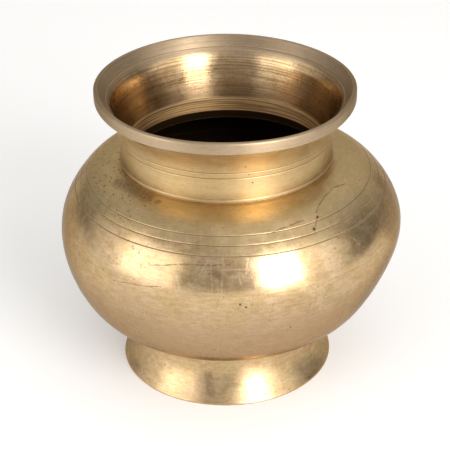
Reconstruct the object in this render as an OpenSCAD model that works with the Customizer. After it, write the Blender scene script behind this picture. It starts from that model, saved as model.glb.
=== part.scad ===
// Brass kalash pot: a round water pot, turned on a lathe and brazed up from four brass pieces.
// +Z is up, and the origin is the centre of the face that it stands on. All sizes are in millimetres.

/* [Belly] */
// Radius of the belly at its widest line
belly_r = 75; // [73:0.5:77]
// Height of the widest line
belly_z = 65.2; // [65:0.1:67]
// Radius of the arc that rounds the shoulder and the belly
belly_arc = 32.8; // [32.5:0.1:33.6]
// Angle below the widest line where the flatter flank begins
flank_start = 28; // [26:0.5:30]
// Radius of the flank's arc
flank_arc = 113; // [100:1:125]
// Angle below the widest line where the flank turns in to the base
base_start = 34.5; // [33:0.5:36]
// Radius of the arc that leads to the flat base
base_arc = 39.5; // [38:0.5:41]
// Thickness of the upper and the lower shell
wall = 2; // [1.6:0.1:2.2]
// Height of the seam between the two shells
seam_z = 71.5; // [69:0.5:76]
// Height over which the two shells lap each other
lap = 4; // [3:0.5:5]

/* [Shoulder lines] */
// Angles on the belly arc of the three turned lines
shoulder_lines = [38.5, 46, 53.5];
// Width of a turned line
line_w = 0.5; // [0.4:0.1:1]
// Depth of a turned line
line_d = 0.15; // [0.1:0.05:0.2]

/* [Neck] */
// Outer radius of the neck
neck_r = 44.8; // [44.4:0.1:45.6]
// Radius of the bead at the foot of the neck
root_r = 45.3; // [45:0.1:46.2]
// Height of the flat seat on the shoulder that the neck stands on
seat_z = 97.5; // [97.2:0.1:97.7]
// Radius of the throat inside the neck
throat_r = 41.4; // [41:0.1:41.6]
// Height where the straight throat begins
throat_z = 98.7; // [98:0.1:99.5]
// Height where the throat opens into the mouth
crease_z = 104.3; // [103:0.1:106]
// Radius of the spigot that goes down into the shoulder
spigot_r = 43.2; // [42.9:0.1:43.4]
// Height where the neck begins to flare outwards
flare_z = 105; // [104:0.5:107]
// Heights of the two turned lines on the neck
neck_lines = [108.6, 111.2];

/* [Mouth] */
// Height of the whole pot
pot_h = 130.2; // [129.5:0.1:131.5]
// Outer radius of the lip
lip_r = 54.3; // [53.5:0.1:55]
// Height of the lip's outer face
lip_h = 4.9; // [4.4:0.1:5.4]
// How far the lip stands out over the flared neck
lip_step = 1; // [0.6:0.1:1.4]
// Radius of the lip's outer top edge
lip_round = 0.8; // [0.5:0.1:1]
// Width of the flat land on top of the lip
lip_land = 0.8; // [0.6:0.1:1]
// Slope of the mouth's lower cone, from upright
mouth_slope = 15.7; // [14:0.1:17]
// Height of the top of that cone
mouth_z = 119.5; // [118:0.1:120]
// Radius of the arc that flares the top of the mouth
mouth_arc = 17.4; // [16:0.1:18]
// Slope of the mouth where that arc ends, from upright
mouth_end = 40; // [38:0.5:42]

/* [Foot ring] */
// Outer radius of the foot ring where it stands
foot_r = 46.5; // [45:0.1:48]
// Height of the upright rim at the bottom of the foot ring
foot_rim = 0.6; // [0.4:0.1:1]
// Height where the flare of the foot ring begins
foot_flare_z = 2; // [1.5:0.1:2.5]
// Radius of the foot ring where its flare begins
foot_flare_r = 45.5; // [44.5:0.1:46]
// Height where the foot ring becomes upright
waist_z = 20; // [19:0.1:21]
// Outer radius of the foot ring's upright waist
waist_r = 39.1; // [38.5:0.1:40]
// Thickness of the foot ring's wall
foot_wall = 2.2; // [1.8:0.1:2.5]
// Width of the flat face that the foot ring stands on
foot_face = 3.9; // [3.4:0.1:4.2]

/* [Brazing] */
// Thickness of the filler metal in a brazed gap
filler = 0.4; // [0.3:0.05:0.5]
// Leg of a brazed fillet
fillet = 2; // [1.5:0.1:2.4]

/* [Hidden] */
$fn = 96;
arc_step = 3;
brass = [0.80, 0.65, 0.42];
spelter = [0.72, 0.54, 0.30];

// Centres of the three arcs of the body, each tangent to the one before
belly_c = [belly_r - belly_arc, belly_z];
flank_c = belly_c + (belly_arc - flank_arc) * [cos(flank_start), -sin(flank_start)];
base_c = flank_c + (flank_arc - base_arc) * [cos(base_start), -sin(base_start)];
base_z = base_c[1] - base_arc;

// Gap between the spigot and the edge of the shoulder's hole
hole_r = spigot_r + filler;
spigot_tip_z = seat_z - 2.5;
spigot_tip_r = spigot_r - 0.8;
// Angles on the inner belly arc where a fillet under the shoulder ends and where the hole is cut
hole_a = acos((hole_r - belly_c[0]) / (belly_arc - wall));
fillet_a = hole_a - fillet / (belly_arc - wall) * 180 / PI;

// The lap at the seam lies halfway through the wall, and leans in with it
lap_top_z = seam_z + lap;
lap_low_r = (body_r(seam_z, 0) + body_r(seam_z, wall)) / 2;
lap_top_r = (body_r(lap_top_z, 0) + body_r(lap_top_z, wall)) / 2;

// Lip and flare
lip_z = pot_h - lip_h;
flare_w = lip_r - lip_step - neck_r;
flare_rise = lip_z - flare_z;
flare_arc = (flare_rise * flare_rise + flare_w * flare_w) / (2 * flare_w);
flare_end = asin(flare_rise / flare_arc);
crease_r = throat_r + 0.5;
crease_top_z = crease_z + 0.3;
mouth_r = crease_r + (mouth_z - crease_top_z) * tan(mouth_slope);
mouth_c = [mouth_r + mouth_arc * cos(mouth_slope), mouth_z - mouth_arc * sin(mouth_slope)];
land_r = lip_r - lip_round - lip_land;

// Foot ring: its flare is one arc that ends upright at the waist
foot_rise = waist_z - foot_flare_z;
foot_spread = foot_flare_r - waist_r;
foot_arc = (foot_rise * foot_rise + foot_spread * foot_spread) / (2 * foot_spread);
foot_c = [waist_r + foot_arc, waist_z];
foot_in_r = waist_r - foot_wall;
// Angles on the base arc between which the foot ring is brazed, and where its fillet ends
foot_out_a = asin((waist_r - base_c[0]) / base_arc);
foot_in_a = asin((foot_in_r - base_c[0]) / base_arc);
foot_fillet_a = foot_in_a - fillet / base_arc * 180 / PI;

// Points along an arc about c from angle a to angle b, both ends included
function arc(c, r, a, b) =
    let (n = max(1, ceil(abs(b - a) / arc_step)))
    [for (i = [0:n]) c + r * [cos(a + (b - a) * i / n), sin(a + (b - a) * i / n)]];

// Radius of the belly arc at height z, at depth d inside its surface
function body_r(z, d) = belly_c[0] + sqrt(pow(belly_arc - d, 2) - pow(z - belly_z, 2));

// Angle on the belly arc of the point at height z, at depth d inside its surface
function belly_a(z, d) = asin((z - belly_z) / (belly_arc - d));

// A point under the bowl, at angle a from straight down on the base arc
function base_pt(a, d) = base_c + (base_arc - d) * [sin(a), -cos(a)];

// The body's outline at depth d from the flank up to the seam, then from the base to the flank
function belly_to(z, d) = arc(belly_c, belly_arc - d, -flank_start, belly_a(z, d));
function flank_line(d) = arc(flank_c, flank_arc - d, -base_start, -flank_start);
function base_line(d, a) = arc(base_c, base_arc - d, a - 90, -base_start);

function reversed(v) = [for (i = [len(v) - 1:-1:0]) v[i]];

// One fine turned line: a round-bottomed cut centred at radius r and height z,
// where n is the outward normal of the wall, in degrees above the horizontal
module turned_line(r, z, n) {
    cut_r = (line_w * line_w / 4 + line_d * line_d) / (2 * line_d);
    translate([r, z] + (cut_r - line_d) * [cos(n), sin(n)])
        circle(r = cut_r);
}

// Neck, flared mouth and lip, turned as one piece, with a spigot below
module neck_collar() {
    color(brass)
    rotate_extrude()
    difference() {
        polygon(concat(
            [[spigot_tip_r, spigot_tip_z], [spigot_r, spigot_tip_z],
             [spigot_r, seat_z + filler], [root_r, seat_z + filler],
             [root_r, seat_z + filler + 0.6], [neck_r, seat_z + filler + 1.2]],
            arc([neck_r + flare_arc, flare_z], flare_arc, 180, 180 - flare_end),
            [[lip_r - 0.4, lip_z], [lip_r, lip_z + 0.4]],
            arc([lip_r - lip_round, pot_h - lip_round], lip_round, 0, 90),
            [[land_r, pot_h]],
            arc(mouth_c, mouth_arc, 180 - mouth_end, 180 - mouth_slope),
            [[crease_r, crease_top_z], [throat_r, crease_z], [throat_r, throat_z]]));
        for (z = neck_lines) {
            a = asin((z - flare_z) / flare_arc);
            turned_line(neck_r + flare_arc * (1 - cos(a)), z, -a);
        }
        turned_line(mouth_c[0] - mouth_arc * cos(mouth_end),
                    mouth_c[1] + mouth_arc * sin(mouth_end), 180 - mouth_end);
    }
}

// Shoulder and upper belly, with the seat and the hole for the neck
module upper_shell() {
    color(brass)
    rotate_extrude()
    difference() {
        polygon(concat(
            [[lap_low_r + filler / 2, seam_z + filler],
             [body_r(seam_z + filler, 0), seam_z + filler]],
            arc(belly_c, belly_arc, belly_a(seam_z + filler, 0), belly_a(seat_z, 0)),
            [[hole_r, seat_z]],
            arc(belly_c, belly_arc - wall, hole_a, fillet_a),
            arc(belly_c, belly_arc - wall, fillet_a, belly_a(lap_top_z + filler, wall)),
            [[lap_top_r + filler / 2, lap_top_z + filler]]));
        for (a = shoulder_lines)
            turned_line(belly_c[0] + belly_arc * cos(a), belly_c[1] + belly_arc * sin(a), a);
    }
}

// Bowl: base, flank and lower belly, with the tongue that the upper shell laps
module lower_shell() {
    color(brass)
    rotate_extrude()
    polygon(concat(
        [[0, base_z], [base_c[0], base_z]],
        [for (a = [foot_fillet_a, foot_in_a, foot_out_a]) base_pt(a, 0)],
        base_line(0, foot_out_a + arc_step), flank_line(0), belly_to(seam_z, 0),
        [[lap_low_r - filler / 2, seam_z], [lap_top_r - filler / 2, lap_top_z]],
        reversed(belly_to(lap_top_z, wall)),
        reversed(flank_line(wall)), reversed(base_line(wall, 0)),
        [[0, base_z + wall]]));
}

// Flared hollow ring that the pot stands on
module foot_ring() {
    color(brass)
    rotate_extrude()
    polygon(concat(
        [[foot_r - foot_face, 0], [foot_r, 0], [foot_r, foot_rim]],
        reversed(arc(foot_c, foot_arc, 180, 180 + asin(foot_rise / foot_arc))),
        [base_pt(foot_out_a, 0), base_pt(foot_in_a, 0), base_pt(foot_in_a, 0) - [0, fillet]],
        arc(foot_c, foot_arc + foot_wall, 180, 180 + asin(foot_rise / (foot_arc + foot_wall)))));
}

// Filler metal under the collar and round its spigot, with a fillet below the shoulder
module neck_braze() {
    under = arc(belly_c, belly_arc - wall, hole_a, fillet_a);
    color(spelter)
    rotate_extrude()
    polygon(concat(
        [[spigot_r, seat_z + filler], [root_r, seat_z + filler], [root_r, seat_z], [hole_r, seat_z]],
        under,
        [[spigot_r, spigot_tip_z]]));
}

// Filler metal in the lap between the two shells
module belly_braze() {
    color(spelter)
    rotate_extrude()
    polygon([
        [lap_low_r - filler / 2, seam_z], [body_r(seam_z, 0), seam_z],
        [body_r(seam_z + filler, 0), seam_z + filler], [lap_low_r + filler / 2, seam_z + filler],
        [lap_top_r + filler / 2, lap_top_z + filler],
        [body_r(lap_top_z + filler, wall), lap_top_z + filler],
        [body_r(lap_top_z, wall), lap_top_z], [lap_top_r - filler / 2, lap_top_z]]);
}

// Fillet of filler metal in the corner between the foot ring and the bowl
module foot_braze() {
    color(spelter)
    rotate_extrude()
    polygon([base_pt(foot_in_a, 0), base_pt(foot_fillet_a, 0),
             base_pt(foot_in_a, 0) - [0, fillet]]);
}

neck_collar();
upper_shell();
lower_shell();
foot_ring();
neck_braze();
belly_braze();
foot_braze();
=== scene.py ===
"""Worn brass kalash pot: seven turned and brazed pieces on a pale studio floor."""
import math
from functools import cached_property

import bmesh
import bpy
import numpy as np
from mathutils import Matrix, Vector


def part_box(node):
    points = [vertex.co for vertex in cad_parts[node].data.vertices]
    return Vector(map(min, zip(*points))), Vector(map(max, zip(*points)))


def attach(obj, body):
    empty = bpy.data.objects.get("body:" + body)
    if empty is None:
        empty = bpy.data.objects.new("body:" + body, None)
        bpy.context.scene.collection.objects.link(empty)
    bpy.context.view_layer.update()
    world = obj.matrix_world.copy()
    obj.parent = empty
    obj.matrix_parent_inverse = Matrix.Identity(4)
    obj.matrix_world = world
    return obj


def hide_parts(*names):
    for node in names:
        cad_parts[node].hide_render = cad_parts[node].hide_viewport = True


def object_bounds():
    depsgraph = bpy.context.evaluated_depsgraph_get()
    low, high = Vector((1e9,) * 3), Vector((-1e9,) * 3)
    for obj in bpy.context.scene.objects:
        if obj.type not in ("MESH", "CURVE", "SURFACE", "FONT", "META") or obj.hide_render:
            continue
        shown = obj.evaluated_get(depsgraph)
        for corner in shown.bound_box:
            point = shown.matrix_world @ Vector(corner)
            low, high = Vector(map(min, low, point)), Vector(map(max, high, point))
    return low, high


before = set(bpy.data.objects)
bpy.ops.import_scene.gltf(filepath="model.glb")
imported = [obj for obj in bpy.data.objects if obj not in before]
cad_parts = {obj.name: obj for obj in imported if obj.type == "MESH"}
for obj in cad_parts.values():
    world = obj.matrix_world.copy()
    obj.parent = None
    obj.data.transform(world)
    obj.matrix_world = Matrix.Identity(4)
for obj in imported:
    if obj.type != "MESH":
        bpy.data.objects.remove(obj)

MM = 0.001
CAD_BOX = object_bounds()
POT_TOP = CAD_BOX[1][2]

# How each piece is turned: points round a ring and the most rings in a piece, the spacing of the points that
# an outline is worked out at, the widest gap between rings and the most that the wall bends from one ring to
# the next, the corners that stay sharp and the corners that only stand for an arc
AROUND = 384
MOST_RINGS = 255
FINE_STEP = 0.05 * MM
COARSE_STEP = 1.6 * MM
BEND_STEP = math.radians(8)
SHARP_TURN = math.radians(35)
GENTLE_TURN = math.radians(8)

# The strongest bend, in 1/mm, that the "ridge" and "hollow" attributes of a piece tell apart
STRONGEST_BEND = 4

# Hand-made unevenness of the wall. Each row is a height, how far the wall leans to +X there, and how much
# slimmer than the CAD its mean radius is, in millimetres. The widest side stays at the CAD's radius.
HAND_LEAN = np.array([
    [0, -0.8, 0.0], [24, -0.6, 0.2], [33, 0.1, 0.0], [40, -0.1, 0.5], [46, 0.2, 1.2], [52, 0.5, 2.2],
    [58, 1.1, 2.3], [65, 1.8, 1.9], [71, 2.1, 1.7], [77, 2.0, 1.8], [83, 1.9, 1.95], [89, 1.8, 1.85],
    [92, 1.0, 1.6], [96, 0.4, 0.5], [99, 0.3, 0.0], [131, 0.3, 0.0]]) * MM
LEAN_BLEND = 2.5 * MM

# How far the mouth's right side and its front hang below its left and back
RIGHT_DROOP = 1.1 * MM
FRONT_DROOP = 1.8 * MM

# Waver of the belly, trued by hand: its depth, then for each wave how many there are in a turn, how fast it
# changes with height in radians per metre, and its phase
WAVER = 0.035 * MM
WAVES = [(3, 90, 0.3), (5, 61, 1.9), (8, 140, 4.1), (11, 47, 2.7), (4, 210, 5.2)]


# ---------------------------------------------------------------- outlines and turning

def outline(node):
    """Closed outline of a turned CAD node, as rows of radius and height, read where its surface crosses +X.

    A solid that reaches the axis gives an open path with both ends on the axis instead."""
    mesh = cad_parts[node].data
    points = np.array([v.co for v in mesh.vertices])
    on_seam = (np.abs(points[:, 1]) < 1e-7) & (points[:, 0] > 0)
    places = [tuple(p) for p in np.round(points[:, [0, 2]], 6)]
    near = {}
    for edge in mesh.edges:
        a, b = edge.vertices
        if on_seam[a] and on_seam[b] and places[a] != places[b]:
            near.setdefault(places[a], set()).add(places[b])
            near.setdefault(places[b], set()).add(places[a])
    ends = sorted((p for p in near if len(near[p]) == 1), key=lambda p: p[1])
    path = [ends[0] if ends else min(near, key=lambda p: (p[1], p[0]))]
    while True:
        onward = sorted(near[path[-1]] - set(path[-2:]))
        if not onward or onward[0] == path[0]:
            break
        path.append(onward[0])
    path = np.array(path)
    if ends:
        path = np.vstack([[0, path[0, 1]], path, [0, path[-1, 1]]])
    r, z = path.T
    clockwise = np.sum(r * np.roll(z, -1) - z * np.roll(r, -1)) < 0
    return (path[::-1] if clockwise else path), bool(ends)


def rounded(path, is_open):
    """The outline with the arcs that its gentle corners stand for, as closely spaced points."""
    ahead = np.roll(path, -1, axis=0) - path
    length = np.linalg.norm(ahead, axis=1)
    way = ahead / length[:, None]
    before = np.roll(way, 1, axis=0)
    turn = np.abs(np.arctan2(before[:, 0] * way[:, 1] - before[:, 1] * way[:, 0], (before * way).sum(1)))
    gentle = turn < GENTLE_TURN
    if is_open:
        gentle[[0, -1]] = False
    share = np.roll(length, 1)
    tangent = before * length[:, None] + way * share[:, None]
    tangent /= np.linalg.norm(tangent, axis=1)[:, None]
    points = []
    for i in range(len(path) - (1 if is_open else 0)):
        j = (i + 1) % len(path)
        mirror = 2 * np.outer(way[i], way[i]) - np.eye(2)
        start = tangent[i] if gentle[i] else (mirror @ tangent[j] if gentle[j] else way[i])
        end = tangent[j] if gentle[j] else (mirror @ tangent[i] if gentle[i] else way[i])
        t = np.arange(0, 1, 1 / max(2, math.ceil(length[i] / FINE_STEP)))[:, None]
        points.append(path[i] * (2 * t**3 - 3 * t**2 + 1) + path[j] * (3 * t**2 - 2 * t**3)
                      + length[i] * (start * (t**3 - 2 * t**2 + t) + end * (t**3 - t**2)))
    return np.vstack(points + ([path[-1:]] if is_open else []))


def worn(points, is_open, wear):
    """The closely spaced outline with its corners rubbed round over the distance `wear`, evenly spaced."""
    loop = np.vstack([points, points[-2:0:-1] * [-1, 1]]) if is_open else points
    step = np.linalg.norm(np.roll(loop, -1, axis=0) - loop, axis=1)
    along = np.concatenate([[0], np.cumsum(step)])
    count = int(along[-1] / FINE_STEP)
    even = np.linspace(0, along[-1], count, endpoint=False)
    closed = np.vstack([loop, loop[:1]])
    curve = np.interp(even, along, closed[:, 0]) + 1j * np.interp(even, along, closed[:, 1])
    wave = np.fft.fftfreq(count, along[-1] / count)
    curve = np.fft.ifft(np.fft.fft(curve) * np.exp(-2 * (math.pi * wave * wear) ** 2))
    if is_open:
        curve = curve[:count // 2 + 1]
    return np.column_stack([curve.real, curve.imag])


def bend(points):
    """Signed curvature along evenly spaced points: positive on a ridge, negative in a hollow."""
    first = np.gradient(points, FINE_STEP, axis=0)
    second = np.gradient(first, FINE_STEP, axis=0)
    return first[:, 0] * second[:, 1] - first[:, 1] * second[:, 0]


def rings(points, is_open):
    """Places along the outline for the mesh's rings: close together where it bends.

    The bend is blended along the outline first, so that the gaps between rings change gradually."""
    reach = np.arange(-12, 13)
    spread = np.exp(-0.5 * (reach / 4) ** 2)
    bending = np.convolve(np.abs(bend(points)), spread / spread.sum(), mode="same")
    density = np.minimum(1 / COARSE_STEP + bending / BEND_STEP, 1 / (2 * FINE_STEP))
    total = np.concatenate([[0], np.cumsum(density) * FINE_STEP])
    count = min(MOST_RINGS, math.ceil(total[-1]))
    wanted = np.linspace(0, total[-1], count, endpoint=is_open)
    return np.clip(np.interp(wanted, total, np.arange(len(total))), 0, len(points) - 1)


def soft_step(values, low, high):
    """Rises smoothly from 0 at low to 1 at high."""
    t = np.clip((values - low) / (high - low), 0, 1)
    return t * t * (3 - 2 * t)


def hand_lean(z):
    """How far the wall leans to +X and how much slimmer it is at each height, blended along the height."""
    step = 0.25 * MM
    heights = np.arange(-20 * MM, POT_TOP + 20 * MM, step)
    reach = np.arange(-4 * LEAN_BLEND, 4 * LEAN_BLEND + step, step)
    weight = np.exp(-0.5 * (reach / LEAN_BLEND) ** 2)
    weight /= weight.sum()
    result = []
    for column in (1, 2):
        rough = np.interp(heights, HAND_LEAN[:, 0], HAND_LEAN[:, column])
        result.append(np.interp(z, heights, np.convolve(rough, weight, mode="same")))
    return result


def wobble(angle, z):
    """Slow unevenness of the wall, in metres inwards: never more than twice WAVER."""
    total = sum(np.sin(n * angle + phase) * np.cos(z * rate + phase * 2) for n, rate, phase in WAVES)
    return WAVER * (1 + np.tanh(total * 0.6))


def hand_made(points):
    """Moves points of the truly round CAD shape to where the uneven hand-made pot has them.

    The axis itself does not lean, and only the belly has the waver."""
    x, y, z = points.T
    radius = np.hypot(x, y)
    angle = np.arctan2(y, x)
    lean, slim = hand_lean(z)
    off_axis = np.clip(radius / (30 * MM), 0, 1)
    belly = soft_step(z, 26 * MM, 40 * MM) * (1 - soft_step(z, 88 * MM, 97 * MM))
    radius = radius - slim * off_axis - wobble(angle, z) * belly
    x = radius * np.cos(angle) + lean * off_axis - 2 * WAVER * belly
    y = radius * np.sin(angle)
    droop = RIGHT_DROOP * soft_step(z, 100 * MM, 120 * MM) * soft_step(x, -5 * MM, 54 * MM)
    droop += FRONT_DROOP * soft_step(z, 112 * MM, 125 * MM) * soft_step(-y, 4 * MM, 48 * MM)
    return np.column_stack([x, y, np.minimum(z - droop, POT_TOP)])


def turned(name, node, wear):
    """The visible piece for one turned CAD node: its outline, worn, revolved and made uneven.

    Its points carry "ridge" and "hollow", how sharply the outline bends out or in there, and "lathe": the
    cosine and sine of the place's turn about the axis, and how far along the outline it is."""
    path, is_open = outline(node)
    fine = worn(rounded(path, is_open), is_open, wear)
    at = rings(fine, is_open)
    index = np.arange(len(fine))
    profile = np.column_stack([np.interp(at, index, fine[:, 0]), np.interp(at, index, fine[:, 1])])
    curvature = np.interp(at, index, bend(fine))
    if is_open:
        profile[[0, -1], 0] = 0
    count = len(profile)
    angle = math.pi / 2 + np.arange(AROUND) * 2 * math.pi / AROUND
    r, z = profile[:, :1], profile[:, 1:]
    grid = np.stack([r * np.cos(angle), r * np.sin(angle), z + 0 * angle], axis=-1)
    points = hand_made(grid.reshape(-1, 3))
    ring = np.arange(count)
    rows = np.column_stack([ring, np.roll(ring, -1)])[:-1 if is_open else None]
    here = np.arange(AROUND)
    beside = np.roll(here, -1)
    low, high = (rows[:, k, None] * AROUND for k in (0, 1))
    faces = np.stack([low + here, low + beside, high + beside, high + here], axis=-1).reshape(-1, 4)
    mesh = bpy.data.meshes.new(name)
    mesh.from_pydata(points.tolist(), [], faces.tolist())
    for attribute, bending in (("ridge", curvature), ("hollow", -curvature)):
        values = np.repeat(np.clip(bending * MM, 0, STRONGEST_BEND), AROUND)
        mesh.attributes.new(attribute, "FLOAT", "POINT").data.foreach_set("value", values.astype(np.float32))
    places = np.column_stack([np.tile(np.cos(angle), count), np.tile(np.sin(angle), count),
                              np.repeat(at * FINE_STEP, AROUND)])
    lathe = mesh.attributes.new("lathe", "FLOAT_VECTOR", "POINT")
    lathe.data.foreach_set("vector", places.astype(np.float32).ravel())
    if is_open:
        weld_axis(mesh)
    mesh.shade_smooth()
    mesh.set_sharp_from_angle(angle=SHARP_TURN)
    piece = bpy.data.objects.new(name, mesh)
    bpy.context.scene.collection.objects.link(piece)
    return piece


def weld_axis(mesh):
    """Joins the points of the rings that have shrunk to a point on the axis."""
    work = bmesh.new()
    work.from_mesh(mesh)
    middle = [v for v in work.verts if math.hypot(v.co.x, v.co.y) < 0.01 * MM]
    bmesh.ops.remove_doubles(work, verts=middle, dist=0.02 * MM)
    work.to_mesh(mesh)
    work.free()


# ---------------------------------------------------------------- materials

class Nodes:
    """Short calls that build the node tree of a material or a world."""

    def __init__(self, owner):
        owner.use_nodes = True
        self.owner = owner
        self.tree = owner.node_tree
        self.tree.nodes.clear()

    def add(self, kind, **settings):
        """A new node with the given settings."""
        node = self.tree.nodes.new(kind)
        for key, value in settings.items():
            setattr(node, key, value)
        return node

    def put(self, socket, value):
        """Links a socket to another node's output, or sets it to a value."""
        if isinstance(value, bpy.types.NodeSocket):
            self.tree.links.new(value, socket)
        elif value is not None:
            socket.default_value = value

    @cached_property
    def object(self):
        """Object coordinates, which are the CAD frame's."""
        return self.add("ShaderNodeTexCoord").outputs["Object"]

    @cached_property
    def height(self):
        return self.part(self.object, "Z")

    def part(self, vector, axis):
        """One of the three numbers of a vector."""
        split = self.add("ShaderNodeSeparateXYZ")
        self.put(split.inputs[0], vector)
        return split.outputs[axis]

    def attribute(self, name, output="Fac"):
        return self.add("ShaderNodeAttribute", attribute_name=name).outputs[output]

    def math(self, operation, a, b=None):
        node = self.add("ShaderNodeMath", operation=operation)
        self.put(node.inputs[0], a)
        self.put(node.inputs[1], b)
        return node.outputs[0]

    def vector(self, operation, a, b=None, output="Vector"):
        node = self.add("ShaderNodeVectorMath", operation=operation)
        self.put(node.inputs[0], a)
        self.put(node.inputs[1], b)
        return node.outputs[output]

    def both(self, a, b):
        """1 where both masks are 1."""
        return self.math("MULTIPLY", a, b)

    def other(self, mask):
        """1 where the mask is 0."""
        return self.math("SUBTRACT", 1.0, mask)

    def span(self, value, low, high, to_low=0.0, to_high=1.0):
        """Smoothly takes value from low..high to to_low..to_high."""
        node = self.add("ShaderNodeMapRange", interpolation_type="SMOOTHSTEP")
        for socket, number in zip(node.inputs, (value, low, high, to_low, to_high)):
            self.put(socket, number)
        return node.outputs[0]

    def above(self, low, high):
        """0 below the height `low` and 1 above `high`, both in mm."""
        return self.span(self.height, low * MM, high * MM)

    def below(self, low, high):
        """1 below the height `low` and 0 above `high`, both in mm."""
        return self.span(self.height, high * MM, low * MM)

    def noise(self, vector, scale, detail, rough, warp=0.0):
        node = self.add("ShaderNodeTexNoise")
        self.put(node.inputs["Vector"], vector)
        node.inputs["Scale"].default_value = scale
        node.inputs["Detail"].default_value = detail
        node.inputs["Roughness"].default_value = rough
        node.inputs["Distortion"].default_value = warp
        return node.outputs["Fac"]

    def elsewhere(self, shift):
        """Object coordinates moved far away, so that a noise there has a pattern of its own."""
        return self.vector("ADD", self.object, (shift, shift * 0.7, shift * 1.3))

    def streaks(self, across, along):
        """Noise drawn out round the lathe's axis: its detail across the lines in 1/m, along them in 1/rad."""
        place = self.vector("MULTIPLY", self.attribute("lathe", "Vector"), (along, along, across))
        return self.noise(place, 1, 3, 0.6)

    def cells(self, vector, scale):
        node = self.add("ShaderNodeTexVoronoi")
        self.put(node.inputs["Vector"], vector)
        node.inputs["Scale"].default_value = scale
        return node.outputs["Distance"]

    def mix(self, factor, a, b, blend="MIX"):
        node = self.add("ShaderNodeMix", data_type="RGBA", blend_type=blend, clamp_factor=True)
        self.put(node.inputs["Factor"], factor)
        self.put(node.inputs["A"], a)
        self.put(node.inputs["B"], b)
        return node.outputs["Result"]

    def shaken(self, reach, scale):
        """Object coordinates displaced by up to `reach`, so that strokes drawn in them waver."""
        node = self.add("ShaderNodeTexNoise")
        self.put(node.inputs["Vector"], self.object)
        node.inputs["Scale"].default_value = scale
        offset = self.vector("SUBTRACT", node.outputs["Color"], (0.5, 0.5, 0.5))
        return self.vector("ADD", self.object, self.vector("MULTIPLY", offset, [2 * reach] * 3))

    def near(self, where, a, b, width):
        """1 on the straight stroke from a to b, falling softly to 0 at `width` from it."""
        gap = self.vector("SUBTRACT", where, tuple(a))
        way = b - a
        if way.length > 0:
            share = self.vector("DOT_PRODUCT", gap, tuple(way / way.length_squared), output="Value")
            share = self.math("MINIMUM", self.math("MAXIMUM", share, 0.0), 1.0)
            foot = self.add("ShaderNodeVectorMath", operation="SCALE")
            self.put(foot.inputs[0], tuple(way))
            self.put(foot.inputs["Scale"], share)
            gap = self.vector("SUBTRACT", gap, foot.outputs["Vector"])
        return self.span(self.vector("LENGTH", gap, output="Value"), width, width * 0.25)

    def facing(self, way):
        """How far the surface faces one way: 1 straight to it, -1 straight from it."""
        normal = self.add("ShaderNodeNewGeometry").outputs["True Normal"]
        return self.vector("DOT_PRODUCT", normal, way, output="Value")

    def outward(self):
        """How far the surface faces away from the lathe's axis."""
        return self.facing(self.vector("NORMALIZE", self.vector("MULTIPLY", self.object, (1, 1, 0))))

    def flank(self):
        """0 at the pot's front and back, 1 at its left and right."""
        return self.math("ABSOLUTE", self.part(self.attribute("lathe", "Vector"), "X"))


def rgb(r, g, b):
    return (r, g, b, 1.0)


# Brass clean, rubbed, tarnished and dirty, the stain and near-black colours also serving as painted shade.
# DUSKY is the tint of what it reflects at a glancing angle.
BRASS = rgb(0.58, 0.405, 0.21)
PALE = rgb(0.67, 0.50, 0.32)
PINK = rgb(0.63, 0.45, 0.31)
TAN = rgb(0.42, 0.28, 0.135)
BROWN = rgb(0.15, 0.09, 0.045)
STAIN_AND_SHADE = rgb(0.28, 0.185, 0.11)
GREEN = rgb(0.46, 0.375, 0.185)
YELLOW = rgb(0.68, 0.51, 0.25)
BLACKENED_AND_SHADE = rgb(0.07, 0.04, 0.02)
GOLDEN = rgb(0.80, 0.52, 0.24)
DUSKY = rgb(0.68, 0.60, 0.50)

# Points all along the outlines of the pieces that the outer wall is made of: radius and height
WALLED = ("neck_collar", "upper_shell", "lower_shell", "foot_ring")
WALL = np.vstack([rounded(*outline(node)) for node in WALLED])
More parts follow.
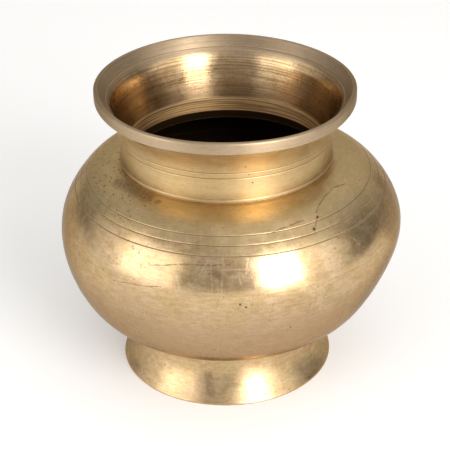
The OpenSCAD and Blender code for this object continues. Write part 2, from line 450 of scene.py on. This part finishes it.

# Marks of use on the outer walls, and broad dark bands of painted shade along the belly's sides: kind, piece,
# half width in mm, then the places it runs through. A place is an azimuth in degrees (0 at the front,
# positive to the front's right) and a height in mm.
MARKS = [
    ("pit", "lower_shell", 0.75, (2, 68.3)),
    ("pit", "lower_shell", 0.75, (4, 66.8)),
    ("pit", "lower_shell", 0.5, (20, 52.7)),
    ("pit", "lower_shell", 0.4, (-50, 44)),
    ("pit", "upper_shell", 0.8, (36, 92.6)),
    ("pit", "upper_shell", 1.1, (32, 89.9)),
    ("dark", "lower_shell", 0.32, (-41, 69.3), (-36, 70.5), (-31, 71), (-27, 72), (-23, 72.8)),
    ("dark", "upper_shell", 0.30, (-28, 80), (-22, 81.3), (-17, 82.2)),
    ("dark", "upper_shell", 0.45, (-17, 82.2), (-9, 82.9), (-1, 83)),
    ("dark", "upper_shell", 0.5, (62, 95.5), (54, 96.4), (45, 95.7), (40, 94.8), (37, 93.6)),
    ("dark", "upper_shell", 0.55, (36, 92.8), (33, 90.4)),
    ("dark", "upper_shell", 0.6, (16, 91.8), (22, 92.4), (30, 93)),
    ("fresh", "upper_shell", 0.6, (-4, 81.5), (4, 81.5)),
    ("fresh", "upper_shell", 0.45, (-7.5, 85), (-6.5, 77), (-6.5, 72)),
    ("fresh", "upper_shell", 0.45, (-3, 85.5), (-3.5, 77), (-3.5, 71)),
    ("fresh", "upper_shell", 0.45, (1, 85), (2.5, 76)),
    ("fresh", "upper_shell", 0.45, (5.5, 85), (4, 79.5)),
    ("fresh", "upper_shell", 0.5, (-11, 79), (-8, 84.5)),
    ("fresh", "upper_shell", 0.9, (-18.5, 78), (-17, 73.5)),
    ("fresh", "upper_shell", 0.6, (37, 78), (38, 79.5)),
    ("fresh", "upper_shell", 0.6, (41, 80), (43, 81.5)),
    ("fresh", "upper_shell", 0.7, (36, 76.5), (37, 77)),
    ("fresh", "upper_shell", 0.6, (47, 79.5), (45, 82.5)),
    ("stain_and_shade", "upper_shell", 2.0, (-6, 80.4), (-4, 79)),
    ("stain_and_shade", "upper_shell", 2.2, (-34, 97.2)),
    ("stain_and_shade", "upper_shell", 4.0, (-40, 97.4), (-62, 97)),
    ("stain_and_shade", "upper_shell", 9.0, (82, 86), (75, 80), (66, 78)),
    ("stain_and_shade", "upper_shell", 3.5, (52, 79), (47, 77)),
    # the next three rows are painted shade: broad darkening along the belly's right and left contours and its
    # lower right side
    ("stain_and_shade", "upper_shell", 15.0, (93, 80), (90, 58)),
    ("stain_and_shade", "upper_shell", 14.0, (-93, 84), (-89, 62)),
    ("stain_and_shade", "lower_shell", 16.0, (60, 58), (57, 48)),
    ("pit", "neck_collar", 0.5, (9, 114.5)),
    ("pit", "neck_collar", 0.4, (11, 110)),
    ("pit", "neck_collar", 0.5, (13, 106)),
    ("stain_and_shade", "neck_collar", 1.6, (-45, 122), (-36, 123.8)),
    ("stain_and_shade", "foot_ring", 3.0, (-12, 11), (-10, 5)),
]

# How each kind of mark changes the brass: amount, colour, added roughness, height
KINDS = {
    "stain_and_shade": (0.8, STAIN_AND_SHADE, 0.08, 0.0),
    "dark": (0.7, BROWN, 0.2, -2.0),
    "fresh": (0.45, PALE, 0.1, -0.6),
    "pit": (0.95, BLACKENED_AND_SHADE, 0.3, -4.0),
}

# How high the surface stands, in metres, where the height of its look is 1
RELIEF = 0.02 * MM


def on_wall(azimuth, height):
    """The point of the pot's uneven outer wall at an azimuth in degrees and a height in mm."""
    level = WALL[np.abs(WALL[:, 1] - height * MM) < 4 * FINE_STEP]
    radius = level[:, 0].max()
    turn = math.radians(azimuth)
    place = np.array([[radius * math.sin(turn), -radius * math.cos(turn), height * MM]])
    return Vector(hand_made(place)[0])


def marked(n, kind, pieces):
    """Where the marks of one kind are on the given pieces, or None if there are none."""
    rows = [row for row in MARKS if row[0] == kind and row[1] in pieces]
    if not rows:
        return None
    where = n.shaken(0.45 * MM, 200)
    found = None
    for _, _, half_width, *run in rows:
        places = [on_wall(*place) for place in run]
        for a, b in zip(places, places[1:] or places):
            mask = n.near(where, a, b, half_width * MM)
            found = mask if found is None else n.math("MAXIMUM", found, mask)
    return found


class Look:
    """Colour, roughness and surface height of one finish while it is built up layer by layer."""

    def __init__(self, n, colour, rough):
        self.n = n
        self.colour = colour
        self.rough = rough
        self.height = None

    def layer(self, mask, amount, colour=None, rough=0.0, height=0.0):
        """Where the mask is 1: mixes in a colour by amount, and adds amount times rough and height."""
        n = self.n
        mask = n.math("MULTIPLY", mask, amount)
        if colour:
            self.colour = n.mix(mask, self.colour, colour)
        if rough:
            self.rough = n.math("ADD", self.rough, n.math("MULTIPLY", mask, rough))
        if height:
            part = n.math("MULTIPLY", mask, height)
            self.height = part if self.height is None else n.math("ADD", self.height, part)

    def shade(self, mask, tint):
        """Multiplies the colour by a tint where the mask is 1."""
        self.colour = self.n.mix(mask, self.colour, tint, "MULTIPLY")

    def metal(self, brushed):
        """Ends the tree as a metal, brushed round the lathe's axis by the given amount."""
        n = self.n
        bump = n.add("ShaderNodeBump")
        bump.inputs["Strength"].default_value = 1.0
        bump.inputs["Distance"].default_value = RELIEF
        n.put(bump.inputs["Height"], self.height)
        shader = n.add("ShaderNodeBsdfPrincipled")
        shader.inputs["Metallic"].default_value = 1.0
        shader.inputs["Specular Tint"].default_value = DUSKY
        shader.inputs["Anisotropic"].default_value = brushed
        shader.inputs["Anisotropic Rotation"].default_value = 0.25
        n.put(shader.inputs["Base Color"], self.colour)
        n.put(shader.inputs["Roughness"], self.rough)
        n.put(shader.inputs["Normal"], bump.outputs["Normal"])
        n.put(n.add("ShaderNodeOutputMaterial").inputs["Surface"], shader.outputs["BSDF"])
        return n.owner


def brass(name, pieces, tarnish, pale, green, specks, rough, streaks, brushed, extras=()):
    """Worn turned brass. `rough` is about its roughness where it is clean and `brushed` is how strongly the
    lathe's lines stretch its reflections. The other numbers say how much there is of each kind of wear."""
    n = Nodes(bpy.data.materials.new(name))
    mottle = n.noise(n.object, 210, 4, 0.62, 0.2)
    fine = n.noise(n.object, 900, 3, 0.7)
    look = Look(n, BRASS, n.span(mottle, 0.30, 0.70, rough - 0.04, rough + 0.06))
    look.layer(n.span(n.noise(n.object, 34, 4, 0.6), 0.42, 0.68), tarnish, TAN, 0.03)
    look.layer(n.span(n.noise(n.elsewhere(0.4), 70, 4, 0.6), 0.40, 0.68), pale, PINK)
    look.layer(n.span(mottle, 0.42, 0.66), pale, PALE)
    look.layer(n.span(n.noise(n.elsewhere(0.9), 95, 4, 0.6), 0.48, 0.66), green, GREEN)
    look.layer(n.span(fine, 0.50, 0.68), 0.50, TAN, 0.04)
    turned_lines = streaked(n, look, streaks)
    scoured(n, look)
    speckled(n, look, specks)
    edge = n.span(n.attribute("ridge"), 0.25, 2.0)
    grime = n.span(n.attribute("hollow"), 0.15, 2.0)
    for extra in extras:
        edge, grime = extra(n, look, edge, grime)
    look.layer(grime, 0.60, BROWN, 0.2)
    look.layer(edge, 0.30, PALE, 0.25)
    scratchy = n.span(fine, 0.34, 0.52, 0.25, 1.0)
    for kind, change in KINDS.items():
        mask = marked(n, kind, pieces)
        if mask:
            look.layer(mask if kind == "pit" else n.both(mask, scratchy), *change)
    for lines, depth in turned_lines:
        look.layer(lines, depth, height=1.0)
    look.layer(fine, 0.3, height=1.0)
    return look.metal(brushed)


def streaked(n, look, amount):
    """Streaks and hairlines left by the lathe. Returns each pattern and how high it stands."""
    broad = n.streaks(420, 2.5)
    thin = n.streaks(1500, 5)
    hair = n.streaks(3000, 3)
    look.layer(n.span(broad, 0.48, 0.66), 0.60 * amount, PALE)
    look.layer(n.span(thin, 0.52, 0.70), 0.75 * amount, TAN, 0.05)
    look.layer(n.span(hair, 0.56, 0.70), 0.60 * amount, TAN)
    return [(broad, 0.5 * amount), (thin, 0.6 * amount), (hair, 0.3 * amount)]


def scoured(n, look):
    """Strokes of scouring: up and down, then round, then short ones up and down in patches."""
    rubbed = n.streaks(45, 150)
    look.layer(n.span(rubbed, 0.58, 0.70), 0.25, PALE, 0.04, -0.3)
    look.layer(n.span(rubbed, 0.42, 0.30), 0.25, TAN, 0.0, -0.3)
    look.shade(n.span(n.streaks(1000, 16), 0.38, 0.66), rgb(0.86, 0.84, 0.81))
    patches = n.span(n.noise(n.elsewhere(3.3), 60, 3, 0.6), 0.45, 0.62, 0.15, 0.9)
    short = n.span(n.streaks(110, 150), 0.42, 0.62)
    look.shade(n.both(short, patches), rgb(0.87, 0.85, 0.82))


def speckled(n, look, amount):
    """Dark specks in loose patches."""
    dots = n.span(n.cells(n.object, 430), 0.26, 0.10)
    patches = n.span(n.noise(n.elsewhere(1.7), 48, 3, 0.6), 0.46, 0.62)
    look.layer(n.both(dots, patches), amount, BROWN, 0.2, -0.8)


def collar_wear_and_shade(n, look, edge, grime):
    """A handled dull lip and neck, with painted shade on its outer left and right and tan tarnish and painted
    shade round the neck's foot, and little grime under the lip.
    """
    inside = n.span(n.outward(), -0.05, -0.25)
    outside = n.other(inside)
    under = n.both(outside, n.above(121.8, 123.2))
    lip = n.math("MAXIMUM", n.above(122.8, 124.6), under)
    look.layer(lip, 0.5, PALE, 0.42)
    look.shade(lip, rgb(0.69, 0.71, 0.77))
    look.layer(n.both(n.below(121.5, 124.0), outside), 0.45, YELLOW, 0.36)
    # painted shade: the collar's outer left and right sides darkened where they turn from view
    look.shade(n.both(n.span(n.flank(), 0.78, 0.97), outside), rgb(0.78, 0.75, 0.72))
    # tan tarnish and painted shade round the neck's foot, dimming the bright edge there
    look.layer(n.both(n.below(98.4, 99.2), outside), 0.5, TAN, 0.35)
    mouth_wear_and_shade(n, look, inside)
    return edge, n.both(grime, n.span(n.height, 119.5 * MM, 121.5 * MM, 1.0, 0.25))


def mouth_wear_and_shade(n, look, inside):
    """Lathe rings inside the mouth, brown tarnish and painted shade deep in it, reaching higher at its left
    and right, a golden throat, and black painted shade below it.
    """
    ring = n.streaks(1300, 0.9)
    ringed = n.both(inside, n.span(n.height, 126.2 * MM, 123.0 * MM, 0.3, 1.0))
    look.layer(n.both(ringed, n.span(ring, 0.46, 0.58)), 0.45, BROWN)
    look.layer(n.both(ringed, n.span(ring, 0.46, 0.34)), 0.40, PALE)
    look.layer(n.both(inside, ring), 2.0, height=1.0)
    # painted shade: the brown darkens the mouth further down and reaches higher at its left and right,
    # besides tarnish
    higher_at_sides = n.span(n.flank(), 0.45, 0.85, 0.0, 9.5 * MM)
    deep = n.span(n.math("SUBTRACT", n.height, higher_at_sides), 114.5 * MM, 105.5 * MM)
    look.layer(n.both(inside, deep), 0.66, BROWN, 0.12)
    throat = n.both(inside, n.below(103.5, 105.5))
    look.layer(throat, 0.75, GOLDEN, 0.45)
    look.layer(n.both(throat, n.span(ring, 0.44, 0.56)), 0.6, BROWN)
    look.layer(n.both(throat, ring), 4.0, height=1.0)
    # painted shade: the opening below the throat painted nearly black
    lowest = n.both(inside, n.below(98.4, 99.0))
    look.layer(lowest, 0.95, BLACKENED_AND_SHADE, 0.3)
    look.shade(lowest, rgb(0.4, 0.35, 0.3))


def cavity_tarnish_and_shade(n, look, edge, grime):
    """The belly's inside, never polished and painted as in deep shade: nearly black."""
    # painted shade: the inside of the belly painted nearly black, besides its tarnish
    low_half = n.span(n.height, 64 * MM, 68 * MM, 1.0, -1.0)
    inward = n.math("SUBTRACT", n.both(n.facing((0, 0, 1)), low_half), n.outward())
    look.layer(n.span(inward, -0.05, 0.05), 1.0, BLACKENED_AND_SHADE, 0.35)
    return edge, grime


def dressed_seam(n, look, edge, grime):
    """The seam round the belly, dressed flush: no grime in it and no bright edges."""
    low, high = (corner[2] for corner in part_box("belly_braze"))
    off = n.math("ABSOLUTE", n.math("SUBTRACT", n.height, (low + high) / 2))
    clear = n.span(off, (high - low) / 2 + 1 * MM, (high - low) / 2 + 3 * MM)
    return n.both(edge, clear), n.both(grime, clear)


def bowl_and_shoulder(n, look, edge, grime):
    """Pinkish rubbed bowl, yellow root of the neck, greener shoulder specked on its left, flanks darkened
    with painted shade.
    """
    bowl = n.below(46, 70)
    look.layer(bowl, 0.50, PINK)
    look.shade(bowl, rgb(0.76, 0.74, 0.72))
    look.layer(n.above(86, 96), 0.35, YELLOW, 0.45)
    mottled = n.span(n.noise(n.elsewhere(2.6), 130, 4, 0.65), 0.44, 0.62)
    look.layer(n.both(n.above(78, 92), mottled), 0.45, GREEN, 0.03)
    # painted shade: the belly's left and right sides darkened, mottled, where they turn from view
    flank = n.both(n.span(n.flank(), 0.82, 0.98), n.below(78, 88))
    look.shade(n.both(flank, n.span(mottled, 0.0, 1.0, 0.8, 1.0)), rgb(0.66, 0.60, 0.56))
    specked = n.near(n.object, on_wall(-100, 94), on_wall(-45, 95), 16 * MM)
    dots = n.span(n.cells(n.elsewhere(0.2), 520), 0.30, 0.12)
    look.layer(n.both(specked, dots), 0.8, BROWN, 0.2, -0.8)
    return edge, grime


def body_brass():
    return brass("mottled_body_brass", ("upper_shell", "lower_shell"), tarnish=0.5, pale=0.5, green=0.3,
                 specks=0.5, rough=0.22, streaks=0.32, brushed=0.3,
                 extras=(bowl_and_shoulder, dressed_seam, cavity_tarnish_and_shade))


def collar_brass():
    return brass("lathe_streaked_brass", ("neck_collar",), tarnish=0.35, pale=0.35, green=0.2, specks=0.35,
                 rough=0.22, streaks=0.9, brushed=0.6, extras=(collar_wear_and_shade,))


def foot_brass():
    return brass("golden_foot_brass", ("foot_ring",), tarnish=0.5, pale=0.35, green=0.5, specks=0.4,
                 rough=0.30, streaks=0.6, brushed=0.4)


def spelter():
    return brass("spelter", (), tarnish=0.9, pale=0.1, green=0.3, specks=0.8, rough=0.38, streaks=0.3,
                 brushed=0.3)


# ---------------------------------------------------------------- pieces

# For each finish, the CAD nodes that have it and over what distance their corners are rubbed round, in mm
FINISHES = [
    (collar_brass, {"neck_collar": 0.09}),
    (body_brass, {"upper_shell": 0.015, "lower_shell": 0.015, "belly_braze": 0.015}),
    (foot_brass, {"foot_ring": 0.25}),
    (spelter, {"neck_braze": 0.05, "foot_braze": 0.10}),
]


def build_pot():
    """Every piece of the pot, in place of its CAD node."""
    for finish, wears in FINISHES:
        material = finish()
        for node, wear in wears.items():
            piece = turned("pot_" + node, node, wear * MM)
            piece.data.materials.append(material)
            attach(piece, "root")
            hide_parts(node)


# ---------------------------------------------------------------- studio

def build_floor():
    """A wide pale sheet that the pot stands on."""
    radius, corners = 4.0, 64
    turns = [2 * math.pi * k / corners for k in range(corners)]
    mesh = bpy.data.meshes.new("studio_floor")
    mesh.from_pydata([(radius * math.cos(a), radius * math.sin(a), 0) for a in turns], [], [range(corners)])
    floor = bpy.data.objects.new("studio_floor", mesh)
    bpy.context.scene.collection.objects.link(floor)
    n = Nodes(bpy.data.materials.new("pale_floor"))
    tone = n.noise(n.object, 3, 2, 0.5)
    shader = n.add("ShaderNodeBsdfPrincipled")
    n.put(shader.inputs["Base Color"], n.mix(tone, rgb(0.96, 0.96, 0.96), rgb(0.94, 0.94, 0.94)))
    shader.inputs["Roughness"].default_value = 0.8
    shader.inputs["Emission Color"].default_value = rgb(1.0, 1.0, 1.0)
    shader.inputs["Emission Strength"].default_value = 0.10
    n.put(n.add("ShaderNodeOutputMaterial").inputs["Surface"], shader.outputs["BSDF"])
    mesh.materials.append(n.owner)


def toward(azimuth, elevation):
    """The direction to a place in the studio. Azimuth 0 is the camera's side, positive to its right."""
    az, el = math.radians(azimuth), math.radians(elevation)
    return Vector((math.sin(az) * math.cos(el), -math.cos(az) * math.cos(el), math.sin(el)))


# How far the softboxes are from the pot, in metres
SOFTBOX_REACH = 1.2


def softbox(name, azimuth, elevation, wide, high, radiance, colour):
    """A rectangular soft light that faces the pot; its angles of view are in degrees."""
    way = toward(azimuth, elevation)
    light = bpy.data.lights.new(name, "AREA")
    light.shape = "RECTANGLE"
    light.size = 2 * SOFTBOX_REACH * math.tan(math.radians(wide / 2))
    light.size_y = 2 * SOFTBOX_REACH * math.tan(math.radians(high / 2))
    light.energy = radiance * math.pi * light.size * light.size_y
    light.color = colour
    lamp = bpy.data.objects.new(name, light)
    lamp.location = Vector((0, 0, POT_TOP / 2)) + way * SOFTBOX_REACH
    lamp.rotation_euler = way.to_track_quat("Z", "Y").to_euler()
    lamp.visible_camera = False
    bpy.context.scene.collection.objects.link(lamp)


# Broad soft patches of the room's light: azimuth, elevation and reach in degrees, then the change in radiance
ROOM_PATCHES = [
    (-25, 10, 80, 0.16),
    (170, 28, 65, 0.24),
    (50, 17, 40, 1.3),
    (-80, 12, 36, 0.7),
    (105, -4, 50, -0.14),
    (-138, 5, 35, -0.08),
    (45, 55, 45, 0.38),
    (-60, 80, 60, -0.06),
]


def build_lights():
    """Two softboxes in a plain room, which is a little brighter overhead."""
    softbox("key_softbox", azimuth=31, elevation=20, wide=24, high=39, radiance=8.0,
            colour=(1.0, 0.99, 0.97))
    softbox("fill_softbox", azimuth=-56, elevation=12, wide=39, high=50, radiance=2.0,
            colour=(1.0, 0.99, 0.96))
    world = bpy.data.worlds.new("studio_room")
    bpy.context.scene.world = world
    n = Nodes(world)
    way = n.add("ShaderNodeTexCoord").outputs["Generated"]
    level = n.span(n.part(way, "Z"), 0.2, 0.9, 0.40, 0.56)
    for azimuth, elevation, reach, change in ROOM_PATCHES:
        closeness = n.vector("DOT_PRODUCT", way, toward(azimuth, elevation), output="Value")
        patch = n.span(closeness, math.cos(math.radians(reach)), 1.0, 0.0, change)
        level = n.math("ADD", level, patch)
    light = n.add("ShaderNodeBackground")
    light.inputs["Color"].default_value = rgb(1.0, 0.99, 0.97)
    n.put(light.inputs["Strength"], level)
    n.put(n.add("ShaderNodeOutputWorld").inputs["Surface"], light.outputs[0])


def build_camera():
    """A close view, pitched down, with a slight roll."""
    pitch, roll = math.radians(29.36), math.radians(1.05)
    sideways, distance, aim_height = -0.8 * MM, 617.3 * MM, 62.7 * MM
    data = bpy.data.cameras.new("camera")
    data.lens = 113.47
    data.sensor_width = 36
    camera = bpy.data.objects.new("camera", data)
    place = Vector((sideways, -distance * math.cos(pitch), aim_height + distance * math.sin(pitch)))
    turn = Matrix.Rotation(math.pi / 2 - pitch, 4, "X") @ Matrix.Rotation(-roll, 4, "Z")
    camera.matrix_world = Matrix.Translation(place) @ turn
    bpy.context.scene.collection.objects.link(camera)
    bpy.context.scene.camera = camera
    bpy.context.scene.view_settings.view_transform = "Standard"


build_pot()
build_floor()
build_lights()
build_camera()
